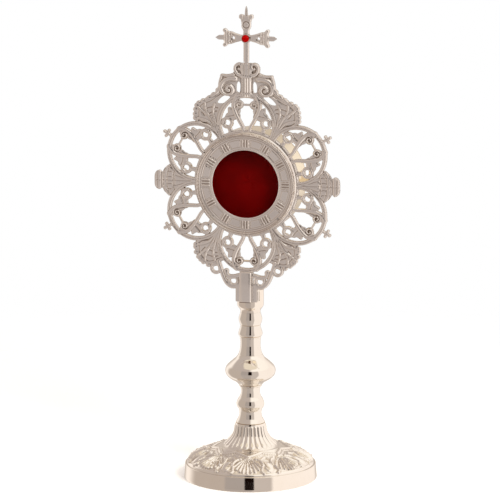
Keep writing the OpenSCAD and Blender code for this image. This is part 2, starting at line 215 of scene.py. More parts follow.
def velvet_material():
    s = Shader("red_velvet")
    shader = s.add("ShaderNodeBsdfPrincipled", Roughness=0.95, Sheen_Weight=0.04, Sheen_Roughness=0.4,
                   Sheen_Tint=(0.6, 0.01, 0.01, 1.0), Specular_IOR_Level=0.1)
    pile = s.noise(2600.0, 4.0, 0.7)
    nap = s.noise(120.0, 3.0, 0.5)
    tone = s.ramp(nap, [(0.35, (0.115, 0.0, 0.0)), (0.7, (0.14, 0.0, 0.0))])
    s.join(tone, shader, "Color", "Base Color")
    s.join(s.bump(pile, 0.00012), shader, "Normal", "Normal")
    return s.surface(shader)


def pane_material():
    """Thin clear glass: mostly see-through, with a faint reflection."""
    s = Shader("window_glass")
    clear = s.add("ShaderNodeBsdfTransparent", Color=(0.97, 0.98, 0.975, 1.0))
    gloss = s.add("ShaderNodeBsdfGlossy")
    smear = s.noise(70.0, 3.0)
    s.join(s.ramp(smear, [(0.4, grey(0.01)), (0.8, grey(0.06))]), gloss, "Color", "Roughness")
    facing = s.add("ShaderNodeFresnel", IOR=1.05)
    mix = s.add("ShaderNodeMixShader")
    s.join(facing, mix, "Fac", 0)
    s.join(clear, mix, 0, 1)
    s.join(gloss, mix, 0, 2)
    return s.surface(mix)


def stone_material():
    s = Shader("red_stone")
    shader = s.add("ShaderNodeBsdfPrincipled", Roughness=0.04, IOR=1.25, Specular_IOR_Level=0.2,
                   Transmission_Weight=0.1)
    cloud = s.noise(900.0, 2.0)
    tone = s.ramp(cloud, [(0.3, (0.22, 0.0, 0.0)), (0.75, (0.48, 0.001, 0.0))])
    s.join(tone, shader, "Color", "Base Color")
    return s.surface(shader)


def floor_material():
    """Pale paper that fades into the white studio far from the object."""
    s = Shader("studio_floor")
    shader = s.add("ShaderNodeBsdfPrincipled", Roughness=0.9, Specular_IOR_Level=0.1,
                   Emission_Color=(0.93, 0.97, 1.0, 1.0), Emission_Strength=0.13)
    paper = s.noise(300.0, 3.0)
    s.join(s.ramp(paper, [(0.0, grey(0.96)), (1.0, grey(0.985))]), shader, "Color", "Base Color")
    place = s.add("ShaderNodeTexCoord")
    distance = s.add("ShaderNodeVectorMath", operation="LENGTH")
    s.join(place, distance, "Object", 0)
    fade = s.add("ShaderNodeMapRange", interpolation_type="SMOOTHSTEP", From_Min=0.12, From_Max=0.55)
    s.join(distance, fade, "Value", "Value")
    mix = s.add("ShaderNodeMixShader")
    s.join(fade, mix, "Result", 0)
    s.join(shader, mix, "BSDF", 1)
    s.join(s.add("ShaderNodeBsdfTransparent"), mix, "BSDF", 2)
    return s.surface(mix)


# The fifth value of a metal is its colour in hollows and at seams: patina and painted shade
POLISHED = metal("polished_silver", (0.94, 0.89, 0.82), (0.91, 0.85, 0.77), (0.02, 0.07), None,
                 1500.0, 0.000004, 0.000003)
EMBOSSED = metal("embossed_silver", (0.95, 0.91, 0.85), (0.91, 0.86, 0.79), (0.04, 0.11),
                 (0.62, 0.54, 0.45), 1800.0, 0.00001)
CAST = metal("cast_silver", (0.98, 0.95, 0.915), (0.93, 0.885, 0.84), (0.10, 0.22),
             (0.20, 0.13, 0.08), 2600.0, 0.00002)
BRIGHT_CAST = metal("bezel_silver", (0.98, 0.95, 0.915), (0.93, 0.885, 0.845), (0.12, 0.22),
                    (0.34, 0.25, 0.18), 2600.0, 0.000015)
TURNED = metal("turned_silver", (0.93, 0.895, 0.83), (0.90, 0.85, 0.78), (0.02, 0.06), (0.45, 0.27, 0.08),
               1500.0, 0.000004, 0.000003)
STEEL = metal("turned_steel", (0.62, 0.61, 0.60), (0.50, 0.49, 0.47), (0.2, 0.35), None,
              1500.0, 0.00001, 0.000006)
DRUM = metal("drum_silver", (0.95, 0.87, 0.68), (0.92, 0.82, 0.60), (0.06, 0.14), None,
             1500.0, 0.000006, 0.000004)
VELVET = velvet_material()
PANE = pane_material()
STONE = stone_material()


# ---- Shapes in the plane, as distances in millimetres ----

def smooth(points, steps=6):
    """Smooth curve through the points."""
    p = np.array(points, float)
    p = np.vstack([p[0], p, p[-1]])
    t = np.linspace(0, 1, steps, endpoint=False)[:, None]
    runs = []
    for a, b, c, d in zip(p[:-3], p[1:-2], p[2:-1], p[3:]):
        runs.append(b + t * (c - a) / 2 + t ** 2 * (a - 2.5 * b + 2 * c - d / 2)
                    + t ** 3 * (3 * b - a - 3 * c + d) / 2)
    return np.vstack([*runs, p[-1:]])


def spiral(centre, start, r0, r1, turns, steps=22):
    """Points of a spiral from radius r0 at the angle start, in degrees, to r1."""
    t = np.linspace(0, 1, steps)
    a = math.radians(start) + t * turns * math.tau
    r = r0 + (r1 - r0) * t
    return np.column_stack([centre[0] + r * np.cos(a), centre[1] + r * np.sin(a)])


def line_distance(u, v, points):
    """Distance of (u, v) to a line of points, and how far along it the nearest point is, from 0 to 1."""
    points = np.asarray(points, float)
    legs = np.linalg.norm(np.diff(points, axis=0), axis=1)
    start = np.concatenate([[0.0], np.cumsum(legs)])
    best = np.full(u.shape, 1e9)
    along = np.zeros(u.shape)
    for i, leg in enumerate(legs):
        (ax, ay), (bx, by) = points[i], points[i + 1]
        dx, dy = bx - ax, by - ay
        t = np.clip(((u - ax) * dx + (v - ay) * dy) / max(leg * leg, 1e-9), 0, 1)
        d = (u - ax - t * dx) ** 2 + (v - ay - t * dy) ** 2
        nearer = d < best
        best = np.where(nearer, d, best)
        along = np.where(nearer, (start[i] + t * leg) / start[-1], along)
    return np.sqrt(best), along


def polygon_distance(u, v, points):
    """Signed distance of (u, v) to a polygon, negative inside it."""
    points = np.asarray(points, float)
    best, _ = line_distance(u, v, np.vstack([points, points[:1]]))
    inside = np.zeros(u.shape, bool)
    for (ax, ay), (bx, by) in zip(points, np.roll(points, -1, axis=0)):
        if ay != by:
            crosses = ((ay > v) != (by > v)) & (u < (bx - ax) * (v - ay) / (by - ay) + ax)
            inside ^= crosses
    return np.where(inside, -best, best)


def disc_distance(u, v, centre, r):
    return np.hypot(u - centre[0], v - centre[1]) - r


def dome(q, power=0.5):
    """Rounded cross-section: 1 in the middle, where q is 0, and 0 at the edge, where q is 1."""
    return np.clip(1 - q * q, 0, 1) ** power


class Relief:
    """Flat casting seen from its front: how far each point lies outside it, and how high its face is."""

    def __init__(self, x, z, soften=0.45):
        self.x, self.z, self.soften = x, z, soften
        self.out = np.full(x.shape, 9.0)
        self.high = np.zeros(x.shape)
        self.fold(x, z)

    def fold(self, u, v, where=slice(None)):
        """What follows is drawn in the coordinates (u, v) of the points in where."""
        self.u, self.v, self.where = u, v, where

    def add(self, out, high):
        old = self.out[self.where]
        k = self.soften
        h = np.clip(k - np.abs(old - out), 0, None) / k
        self.out[self.where] = np.minimum(old, out) - h * h * k / 4
        old_high = self.high[self.where]
        self.high[self.where] = np.where(out < 0.5, np.maximum(old_high, high), old_high)

    def outside(self, points):
        """How far each point lies outside a polygon."""
        return polygon_distance(self.u, self.v, points)

    def strand(self, points, w0, w1, low, rise):
        """Rounded strap along the points, its half-width going from w0 to w1."""
        d, t = line_distance(self.u, self.v, points)
        w = w0 + (w1 - w0) * t
        self.add(d - w, low + rise * dome(d / w))

    def ring(self, centre, r, w, low, rise):
        d = np.abs(np.hypot(self.u - centre[0], self.v - centre[1]) - r)
        self.add(d - w, low + rise * dome(d / w))

    def button(self, centre, r, low, rise):
        d = np.hypot(self.u - centre[0], self.v - centre[1])
        self.add(d - r, low + rise * dome(d / r))

    def cut(self, out):
        self.out[self.where] = np.maximum(self.out[self.where], -out)

    def crease(self, amount):
        """Lowers the face by amount, which is an array."""
        self.high[self.where] = self.high[self.where] - amount


def groove(d, w):
    """Narrow valley of half-width w along d = 0."""
    return dome(np.clip(np.abs(d) / w, 0, 1), 1.0)


# ---- The pierced plate's relief ----

PLATE_FIELD = (-62.5, -77.0), (62.5, 78.0)  # corners of the plate's grid, from the window's centre
PETAL_PITCH = 37.8
PETAL_MID = 17.95
BAND_HALF = 1.35
ANNULUS_OUT = 34.0
ANNULUS_IN = 28.6


def petals(relief):
    x, z = relief.x, relief.z
    radius = np.hypot(x, z)
    near = (radius > 27) & (radius < 60)
    x, z = x[near], z[near]
    turn = np.round(np.arctan2(x, z) / (math.pi / 3)) * math.pi / 3
    u = np.abs(x * np.cos(turn) - z * np.sin(turn))
    v = x * np.sin(turn) + z * np.cos(turn)
    relief.fold(u, v, near)
    # The band round the petal: two rolls with a fine valley between them
    d = np.hypot(u, v - PETAL_PITCH) - PETAL_MID
    band = 2.0 + 1.0 * dome(np.clip((np.abs(d) - 0.62) / 0.75, -1, 1), 0.6)
    relief.add(np.abs(d) - BAND_HALF, band)
    # Eyelet, held to the band, to the annulus and to the scroll
    eye = (12.5, 38.3)
    relief.strand([(9.9, 31.6), (11.4, 35.2)], 1.5, 1.1, 2.0, 0.6)
    relief.strand([(15.0, 38.6), (17.4, 39.2)], 1.4, 1.6, 2.0, 0.6)
    relief.ring(eye, 2.85, 1.0, 2.1, 0.9)
    # Leaf between the eyelet and the scroll
    leaf = relief.outside(smooth([(14.2, 41.2), (13.2, 43.8), (12.1, 44.8), (12.0, 47.9),
                                  (10.1, 47.7), (7.8, 46.0), (5.8, 41.6), (8.8, 39.6)], 4))
    vein, _ = line_distance(u, v, [(12.6, 42.2), (9.2, 42.8), (7.2, 43.6)])
    relief.add(leaf, 2.2 + 0.5 * np.clip(-leaf / 0.8, 0, 1) - 0.4 * groove(vein, 0.5))
    inner = relief.outside(smooth([(4.6, 40.6), (4.3, 42.6), (4.6, 44.2), (4.2, 46.0), (5.0, 47.6),
                                   (8.0, 48.4), (7.2, 44.4), (5.6, 41.2)], 4))
    rib, _ = line_distance(u, v, [(5.2, 42.4), (5.9, 45.2), (6.4, 47.6)])
    relief.add(inner, 2.1 + 0.4 * np.clip(-inner / 0.8, 0, 1) - 0.35 * groove(rib, 0.45))
    # Scroll from the annulus to the band, and its volute
    relief.strand(smooth([(1.9, 32.6), (2.6, 35.8), (4.7, 39.6), (6.7, 43.4), (8.2, 47.2), (8.5, 50.2),
                          (7.6, 53.0), (6.6, 55.0)]), 1.05, 1.3, 2.25, 0.85)
    relief.strand([(5.6, 52.6), (6.8, 54.4)], 1.1, 1.6, 2.2, 0.5)
    heart = (4.9, 49.8)
    relief.button(heart, 2.75, 1.7, 0.15)
    relief.strand(spiral(heart, 30, 2.5, 0.7, 1.35), 0.6, 0.5, 1.9, 1.05)
    relief.strand([(-2.4, 49.9), (2.8, 49.9)], 0.55, 0.55, 1.9, 0.5)


def annulus(relief):
    relief.fold(relief.x, relief.z)
    radius = np.hypot(relief.x, relief.z)
    mid, half = (ANNULUS_OUT + ANNULUS_IN) / 2, (ANNULUS_OUT - ANNULUS_IN) / 2
    edge = ANNULUS_OUT - radius
    high = 2.3 + 0.6 * np.clip(edge / 0.8, 0, 1) - 0.25 * groove(edge - 1.2, 0.35)
    relief.add(np.abs(radius - mid) - half, high)


def palmettes(relief):
    far = np.abs(relief.x) > 30
    u, v = np.abs(relief.x[far]), np.abs(relief.z[far])
    relief.fold(u, v, far)
    fan = np.vstack([[(32.5, -0.2), (33.0, 1.2), (40.0, 2.6), (46.0, 5.8)],
                     smooth([(50.6, 10.2), (52.6, 8.6), (54.4, 6.4), (55.5, 3.0), (55.7, -0.2)], 4)])
    out = relief.outside(fan)
    # A narrow leaf towards the window, then a plain field, a T-shaped bar, and two upright ribs at the edge
    leaf = relief.outside([(36.0, -1), (36.5, 0.5), (42.0, 2.0), (46.6, 3.4), (47.4, 2.0),
                           (46.6, -1)])
    arc = np.hypot(u - 30.0, v)
    field = groove(arc - 18.2, 0.5) + 0.8 * groove(arc - 22.2, 0.45) + 0.8 * groove(arc - 24.4, 0.4)
    bar = np.clip((u - 48.6) / 0.5, 0, 1) * np.clip((52.0 - u) / 0.5, 0, 1) * groove(v - 2.3, 0.5)
    high = (2.3 + 0.5 * np.clip(-out / 0.9, 0, 1) - 0.45 * np.clip(field, 0, 1) - 0.4 * bar
            - 0.35 * groove(leaf, 0.45) - 0.4 * groove(v - 5.6, 0.4) * (u > 48.8) * (u < 52))
    relief.add(out, high)
    relief.add(relief.outside([(54.0, -1), (57.0, -1), (57.0, 4.7), (54.0, 5.4)]), 1.9 + 0 * u)
    end = relief.outside(smooth([(60.25, -0.3), (60.1, 3.4), (58.9, 5.5), (57.3, 6.1), (56.2, 5.6),
                                 (56.0, 2.8), (56.1, -0.3)], 4))
    relief.add(end, 2.35 + 0.55 * np.clip(-end / 0.7, 0, 1) - 0.4 * groove(u - 58.4, 0.4))


def crosslets(relief):
    u, v = np.abs(relief.x), np.abs(relief.z)
    c, s = math.cos(math.radians(30)), math.sin(math.radians(30))
    relief.fold(u * c + v * s, np.abs(v * c - u * s))
    relief.strand([(56.4, 0), (61.9, 0)], 0.95, 0.8, 1.7, 0.9)
    relief.strand([(59.6, 0), (59.9, 2.0)], 0.8, 0.75, 1.7, 0.9)
    relief.button((62.0, 0), 1.0, 1.8, 0.9)
    relief.button((59.8, 1.9), 0.95, 1.8, 0.9)


SHELL_LOBES = 9
RIDGE_HALF = 0.65
UPPER_EDGE = [(33.5, 40.4), (33.5, 45.0), (32.2, 49.2), (29.3, 51.8), (25.0, 53.8), (21.6, 57.0),
              (19.0, 59.6), (18.0, 62.4)]
LOWER_EDGE = [(33.5, 40.6), (33.2, 45.6), (30.2, 50.2), (25.2, 53.4), (20.0, 52.4)]


def shell(relief, outline, edge):
    """Leafy shell that spreads from its lower inner corner: ridges, creases across them and a lobed edge.
    The ridges are drawn for the upper shell, and v is positive for both."""
    u, v = relief.u, relief.v
    out = relief.outside(outline)
    high = 2.15 + 0.35 * np.clip(-out / 1.0, 0, 1) - 0.4 * groove(-out - 2.4, 0.5)
    for crease in ([(19.3, 45.3), (21.4, 44.9), (24.4, 43.6)], [(18.7, 47.4), (22.0, 47.9), (25.6, 47.0)],
                   [(27.2, 42.2), (28.6, 43.6), (29.2, 45.6)], [(23.0, 36.4), (25.4, 37.4), (27.6, 37.6)]):
        d, _ = line_distance(u, v, smooth(crease, 3))
        high = high - 0.5 * groove(d, 0.55)
    relief.add(out, high)
    for ridge in ([(18.6, 31.4), (20.6, 35.6), (23.2, 40.6), (25.4, 43.6), (26.8, 47.0), (27.0, 50.4)],
                  [(19.4, 32.4), (23.6, 37.4), (27.4, 39.6), (31.8, 40.4)],
                  [(18.6, 33.4), (20.4, 38.8), (21.6, 43.6), (21.6, 47.0), (20.6, 50.0)],
                  [(25.0, 43.0), (28.8, 45.2), (31.6, 47.6)],
                  [(21.4, 39.6), (22.6, 41.6)]):
        d, _ = line_distance(u, v, smooth(ridge, 4))
        relief.add(np.where(out < 0, d - RIDGE_HALF, 9.0), 2.3 + 0.7 * dome(d / RIDGE_HALF))
    path = smooth(edge, 5)
    for i in np.linspace(0, len(path) - 1, SHELL_LOBES).round().astype(int):
        relief.button(path[i], 1.5, 2.1, 0.65)


def petal_discs(u, v):
    """Distance to the discs of two petals: the one on the plate's axis, and the one beside it."""
    beside = (PETAL_PITCH * math.sin(math.pi / 3), PETAL_PITCH / 2)
    return np.minimum(disc_distance(u, np.abs(v), (0, PETAL_PITCH), PETAL_MID),
                      disc_distance(u, np.abs(v), beside, PETAL_MID))


def crown(relief):
    above = relief.z > 24
    u, z = np.abs(relief.x[above]), relief.z[above]
    # Heights are drawn on a taller crown, whose part above the shells comes down by 2.2
    v = np.interp(z, [0, 50, 57.8, 90], [0, 50, 60, 92.2])
    relief.fold(u, v, above)
    outline = np.vstack([[(-1.0, 50.0), (10.0, 44.0), (16.3, 28.6), (33.0, 37.6)],
                         smooth(UPPER_EDGE, 3),
                         [(17.4, 66.0), (16.4, 70.4), (12.6, 69.6), (9.4, 70.6), (8.2, 73.0), (4.0, 76.0),
                          (-1.0, 76.0)]])
    shell(relief, outline, UPPER_EDGE[:6])
    # The flat ground behind the scrolls is lower than the shell
    ground = np.clip((v - 56.5 + 0.25 * (u - 14)) / 1.5, 0, 1)
    relief.crease(ground * 0.5)
    relief.cut(petal_discs(u, z))
    relief.cut(relief.outside(smooth([(14.4, 57.0), (10.5, 56.0), (14.6, 50.8), (19.2, 50.5),
                                      (17.4, 54.2), (14.4, 57.0)], 3)))
    relief.cut(relief.outside(smooth([(6.7, 60.4), (4.4, 59.8), (4.0, 65.4), (5.5, 66.7),
                                      (6.7, 64.4), (6.7, 60.4)], 3)))
    # Big scroll beside the vase, its leaf, and the curl above the vase
    relief.strand(smooth([(7.4, 68.6), (11.0, 68.4), (14.8, 66.8), (16.7, 63.4), (15.9, 59.8),
                          (12.8, 57.8), (9.9, 58.8), (9.0, 61.4), (10.4, 63.6), (12.6, 63.2),
                          (13.2, 61.4)]), 1.4, 0.85, 2.3, 0.9)
    relief.button((11.9, 60.9), 1.25, 2.3, 0.8)
    relief.strand(smooth([(8.6, 71.0), (12.0, 70.2), (16.3, 70.5)]), 1.1, 0.7, 2.1, 0.8)
    relief.strand(smooth([(16.2, 70.2), (17.3, 66.4), (17.8, 62.4), (19.6, 59.0), (22.6, 56.4)]),
                  0.8, 1.2, 2.0, 0.8)
    for at in ((18.8, 60.8), (21.6, 57.6), (24.6, 54.8)):
        relief.button(at, 1.5, 2.0, 0.8)
    relief.strand(smooth([(3.4, 70.6), (6.0, 71.6), (7.5, 74.4), (6.8, 77.0), (4.6, 77.9),
                          (3.1, 76.4), (3.8, 74.6), (5.2, 74.9)]), 1.15, 0.8, 2.2, 1.0)
    relief.button((5.1, 75.4), 2.4, 2.0, 0.1)
    # Fluted vase, and the cup above it that holds the cross
    waist = 3.3 - 0.5 * np.sin(np.clip((v - 58.5) / 12.0, 0, 1) * math.pi)
    vase = np.maximum(u - waist, np.maximum(57.0 - v, v - 70.6))
    flutes = 0.5 + 0.5 * np.cos(u * math.tau / 1.5)
    rim = groove(v - 70.0, 0.8) + groove(v - 59.2, 0.6)
    relief.add(vase, 3.0 + 0.55 * dome(np.clip(u / 3.4, 0, 1)) - 0.5 * flutes * (1 - np.clip(rim, 0, 1)))
    cup = relief.outside([(-1, 70.2), (2.2, 70.2), (3.6, 74.0), (3.4, 78.6), (-1, 78.8)])
    relief.add(cup, 2.9 + 0.5 * np.clip(-cup, 0, 1) - 0.35 * groove(u - 1.5, 0.4))


def underside(relief):
    below = relief.z < -24
    u, v = np.abs(relief.x[below]), relief.z[below]
    outline = np.vstack([[(16.3, 28.6), (33.0, 37.6)], smooth(LOWER_EDGE, 3), [(13.6, 49.4), (11.0, 40.0)]])
    relief.fold(u, -v, below)
    shell(relief, outline, LOWER_EDGE)
    relief.fold(u, v, below)
    relief.cut(petal_discs(u, v))
    relief.ring((20.2, -55.4), 2.85, 1.0, 2.0, 0.9)
    relief.ring((8.7, -62.9), 2.9, 1.05, 2.0, 0.9)
    relief.strand(smooth([(18.6, -50.6), (17.0, -55.4), (15.3, -60.2), (13.0, -64.4), (9.6, -66.6),
                          (5.0, -65.8)]), 1.3, 1.3, 2.1, 0.9)
    relief.strand(smooth([(13.6, -57.0), (12.6, -59.6), (9.4, -60.4), (5.6, -59.4), (3.0, -59.2)]),
                  1.3, 1.3, 2.0, 0.9)
    relief.button((13.5, -57.0), 1.8, 2.0, 0.8)
    # Tang: flanges low down, and the square rib up to the petal
    foot = glory_low.z - GLORY_Z
    flange = np.maximum(u - 7.0, np.maximum(foot - v, v - (foot + 11.5)))
    relief.add(flange, 2.7 + 0.3 * np.clip(-flange / 0.5, 0, 1))
    web = np.maximum(u - 4.2, np.maximum(foot - v, v + 56.6))
    relief.add(web, 2.6 + 0 * u)


def plate_relief(x, z):
    relief = Relief(x, z)
    crown(relief)
    underside(relief)
    palmettes(relief)
    crosslets(relief)
    annulus(relief)
    petals(relief)
    centre = np.hypot(x, z)
    relief.fold(x, z)
    relief.cut(centre - ANNULUS_IN)
    # Under the bezel's flange the face stays flat
    high = np.where(centre < ANNULUS_OUT - 1.2, np.minimum(relief.high, PLATE_T - 0.05), relief.high)
    return relief.out, high


# ---- The cross's relief ----

def cross_relief(x, z):
    relief = Relief(x, z, 0.3)
    # Side arms: a flaring bar, a banded capital with two ears, and a spike
    u, v = np.abs(x), np.abs(z)
    relief.fold(u, v)
    arm = relief.outside([(-1, -1), (0, 1.9), (3.2, 1.85), (6.4, 2.7), (9.6, 3.9), (12.6, 4.2),
                          (12.6, -1)])
    bands = groove(u - 10.2, 0.45) + groove(u - 12.0, 0.4)
    dents = np.maximum(groove(np.hypot(u - 10.6, v - 2.3), 1.0), groove(np.hypot(u - 8.1, v), 1.7))
    rib = relief.outside([(6.0, 1.5), (9.4, 3.2), (9.4, 1.6), (7.6, 1.3)])
    relief.add(arm, 1.9 + 0.5 * np.clip(-arm / 0.5, 0, 1) - 0.35 * bands - 0.4 * dents
               - 0.5 * np.clip(-rib / 0.4, 0, 1))
    capital = relief.outside(smooth([(12.0, -1), (12.0, 4.3), (13.2, 5.4), (14.6, 5.5), (15.0, 4.4),
                                     (14.3, 3.2), (14.5, 1.7), (15.2, 0), (15.0, -1)], 3))
    relief.add(capital, 1.9 + 0.55 * np.clip(-capital / 0.5, 0, 1) - 0.35 * groove(u - 13.4, 0.35))
    relief.button((13.8, 4.6), 1.15, 1.8, 0.8)
    spike = relief.outside([(14, -1), (14, 1.45), (17.8, 1.35), (19.8, 0), (19.0, -1)])
    relief.add(spike, 1.5 + 0.75 * dome(np.clip(v / 1.5, 0, 1)))
    relief.cut(disc_distance(u, v, (8.1, 0), 0.95))
    # Upper arm: post, capital with two ears and a boss, and a thin spike
    tip = cross_high.z - GEM_Z
    relief.fold(u, z)
    post = relief.outside([(-1, -1), (1.9, 0), (1.7, 4.6), (3.0, 7.2), (3.0, 12.0), (-1, 12.0)])
    relief.add(post, 1.9 + 0.5 * np.clip(-post / 0.5, 0, 1))
    ears = relief.outside(smooth([(-1, 10.6), (2.9, 10.4), (3.4, 11.8), (4.5, 12.6), (4.3, 14.6),
                                  (2.6, 14.9), (1.2, 14.2), (-1, 14.4)], 3))
    relief.add(ears, 1.9 + 0.5 * np.clip(-ears / 0.5, 0, 1) - 0.35 * groove(u - 1.9, 0.4))
    relief.crease(0.7 * np.clip(1 - np.abs(np.hypot(u, z - 8.4) - 2.0) / 0.6, 0, 1) * (z > 5) * (z < 12))
    relief.button((0, 8.4), 1.45, 1.7, 0.8)
    needle = relief.outside([(-1, 13.4), (0.95, 13.4), (0.6, tip - 2.6), (0, tip), (-1, tip - 2.6)])
    relief.add(needle, 1.5 + 0.6 * dome(np.clip(u / 1.0, 0, 1)))
    # Lower post, let into the vase
    stem = np.maximum(u - 1.65, np.maximum(z, cross_low.z + 5.9 - GEM_Z - z))
    relief.add(stem, 1.9 + 0.6 * dome(np.clip(u / 1.65, 0, 1)))
    # Flat seat under the stone
    seat = np.hypot(x, z) - 3.0
    relief.add(seat, 2.0 + 0 * x)
    relief.high[seat < 0] = 2.0
    return relief.out, relief.high


# ---- Meshes ----

def new_object(name, verts, faces, material, hollow=None, sharp=35.0):
    mesh = bpy.data.meshes.new(name)
    mesh.from_pydata([tuple(v) for v in verts], [], faces)
    mesh.validate()
    mesh.shade_smooth()
    mesh.set_sharp_from_angle(angle=math.radians(sharp))
    if hollow is not None:
        corner = len(hollow) == len(mesh.loops)
        attribute = mesh.attributes.new("hollow", "FLOAT", "CORNER" if corner else "POINT")
        attribute.data.foreach_set("value", np.asarray(hollow, np.float32))
    mesh.materials.append(material)
    return linked(name, mesh)


def from_bmesh(name, bm, material):
    """New smooth-shaded object with the mesh in bm."""
    mesh = bpy.data.meshes.new(name)
    bm.to_mesh(mesh)
    bm.free()
    mesh.shade_smooth()
    mesh.materials.append(material)
    return linked(name, mesh)


def blurred(values, mask, times):
    """Mean of the values round each grid point, over the points in the mask."""
    total, weight = values * mask, mask.astype(float)
    for _ in range(times):
        for axis in (0, 1):
            total = total + np.roll(total, 1, axis) + np.roll(total, -1, axis)
            weight = weight + np.roll(weight, 1, axis) + np.roll(weight, -1, axis)
        total, weight = total / 9, weight / 9
    return total / np.maximum(weight, 1e-6)


def corners(grid):
    """Values at the four corners of each of a grid's cells, in order round the cell."""
    n, m = grid.shape
    return np.stack([grid[i:n - 1 + i, j:m - 1 + j] for i, j in ((0, 0), (1, 0), (1, 1), (0, 1))], -1)


def filled_cells(out, near, used):
    """Cells inside the shape, as tuples of grid indices, and a triangle where three corners are used."""
    depth, flags = corners(out), corners(used)
    index = corners(np.arange(out.size).reshape(out.shape))
    whole = flags.all(-1) & ((depth.mean(-1) < 0) | (corners(np.where(near, 0, out)).min(-1) < 0))
    faces = [tuple(f) for f in index[whole].tolist()]
    three = flags.sum(-1) == 3
    for cell, kept, depths in zip(index[three].tolist(), flags[three], depth[three]):
        if depths[kept].mean() < 0:
            faces.append(tuple(c for c, k in zip(cell, kept) if k))
    return faces


def open_edges(faces):
    """Edges that only one face has, in that face's direction."""
    edges = {}
    for f in faces:
        for a, b in zip(f, f[1:] + f[:1]):
            if (b, a) in edges:
                del edges[(b, a)]
            else:
                edges[(a, b)] = True
    return list(edges)


LEAST_SLOPE = 0.35  # of the distance field, which is flat on its ridges
SNAP = 0.56  # part of the pitch that a point may move to the outline


def cast_plate(name, field, low, high, pitch, z_centre, back_y, material, bevel=0.22):
    """Mesh of a flat casting: a face in relief towards -Y, side walls and a flat back."""
    xs = np.arange(low[0], high[0] + pitch, pitch)
    zs = np.arange(low[1], high[1] + pitch, pitch)
    x, z = np.meshgrid(xs, zs, indexing="ij")
    out = field(x.ravel(), z.ravel())[0].reshape(x.shape)
    # Grid points near the outline are moved onto it
    gx, gz = np.gradient(out, pitch)
    slope = np.maximum(np.hypot(gx, gz), LEAST_SLOPE)
    near = np.abs(out) < SNAP * pitch * slope
    step = np.where(near, np.clip(out / slope, -pitch, pitch), 0)
    px, pz = x - step * gx / slope, z - step * gz / slope
    used = near | (out < 0)
    # What lies lower than its surroundings counts as hollow and is darkened: patina and painted shade
    h = field(px.ravel(), pz.ravel())[1].reshape(x.shape)
    mean = blurred(h, used, 3 if pitch > 0.5 else 5)
    hollow = np.clip((mean - h) * 2.6 - 0.05, 0, 0.9)

    faces = filled_cells(out, near, used)
    front = np.array(sorted({v for f in faces for v in f}))
    remap = np.full(x.size, -1)
    remap[front] = np.arange(len(front))
    faces = [tuple(int(remap[v]) for v in f) for f in faces]
    fx, fz = px.ravel()[front], pz.ravel()[front]
    fh, fd = h.ravel()[front], hollow.ravel()[front]
    nx, nz = (gx / slope).ravel()[front], (gz / slope).ravel()[front]

    edges = open_edges(faces)
    count = len(front)
    rim = sorted({v for e in edges for v in e})
    side = {v: 2 * count + k for k, v in enumerate(rim)}
    on_rim = np.zeros(count, bool)
    on_rim[rim] = True
    bx = np.where(on_rim, fx - bevel * nx, fx)
    bz = np.where(on_rim, fz - bevel * nz, fz)
    # Points of the face, of the back, and of the walls' rear edge, which a bevel joins to the back
    verts = [np.column_stack([fx, back_y - fh, z_centre + fz]),
             np.column_stack([bx, np.full(count, back_y), z_centre + bz]),
             np.column_stack([fx[rim], np.full(len(rim), back_y - bevel), z_centre + fz[rim]])]
    # The back is a little darker all over, and each wall darkens towards the back: painted shade inside the
    # openings
    hollows = [fd[v] for f in faces for v in f]
    hollows += [0.1] * len(hollows)
    mesh_faces = faces + [tuple(v + count for v in reversed(f)) for f in faces]
    for a, b in edges:
        mesh_faces += [(b, a, side[a], side[b]), (side[b], side[a], a + count, b + count)]
        hollows += [0.0, 0.0, 0.15, 0.15] + [0.1] * 4
    return new_object(name, np.vstack(verts) * MM, mesh_faces, material, hollows, 50.0)


def block(name, low, high, material, bevel=0.3, segments=2):
    """Box between two corners, in millimetres, with rounded edges."""
    bm = bmesh.new()
    bmesh.ops.create_cube(bm, size=1.0)
    low, high = Vector(low), Vector(high)
    for v in bm.verts:
        v.co = Vector([(low[i] + high[i]) / 2 + v.co[i] * (high[i] - low[i]) for i in range(3)]) * MM
    bmesh.ops.bevel(bm, geom=bm.edges[:], offset=bevel * MM, segments=segments, affect="EDGES",
                    profile=0.5)
    return from_bmesh(name, bm, material)


def paint_foot_shade(obj, top):
    """Paints shade on the faces below the height top: the dark line of the shadowed gap where the piece
    stands on the stem cap.
    """
    mesh = obj.data
    hollow = mesh.attributes.new("hollow", "FLOAT", "CORNER")
    for face in mesh.polygons:
        for corner in face.loop_indices:
            hollow.data[corner].value = float(face.center.z < top * MM)


def join(objects):
    """Makes the first object hold all of them."""
    first = objects[0]
    bm = bmesh.new()
    for obj in objects:
        bm.from_mesh(obj.data)
    bm.to_mesh(first.data)
    bm.free()
    for obj in objects[1:]:
        bpy.data.objects.remove(obj)
    return first


def once_round(outline, steps):
    """Grids of angle, radius and height for an outline turned once round its axis."""
    a = np.linspace(0, math.tau, steps, endpoint=False)[:, None]
    return a, outline[None, :, 0] + 0 * a, outline[None, :, 1] + 0 * a


def turned(name, outline, material, wear_and_shade=None, sharp=35.0):
    """Piece turned about the stem's axis: the closed outline is (radius, height), in millimetres."""
    a, r, h = once_round(outline, TURN_STEPS)
    grid = np.stack([r * np.cos(a), r * np.sin(a), h], -1)
    if wear_and_shade is not None:
        wear_and_shade = wear_and_shade[None, :] + 0 * a
    return wrapped(name, grid, material, sharp, wear_and_shade)


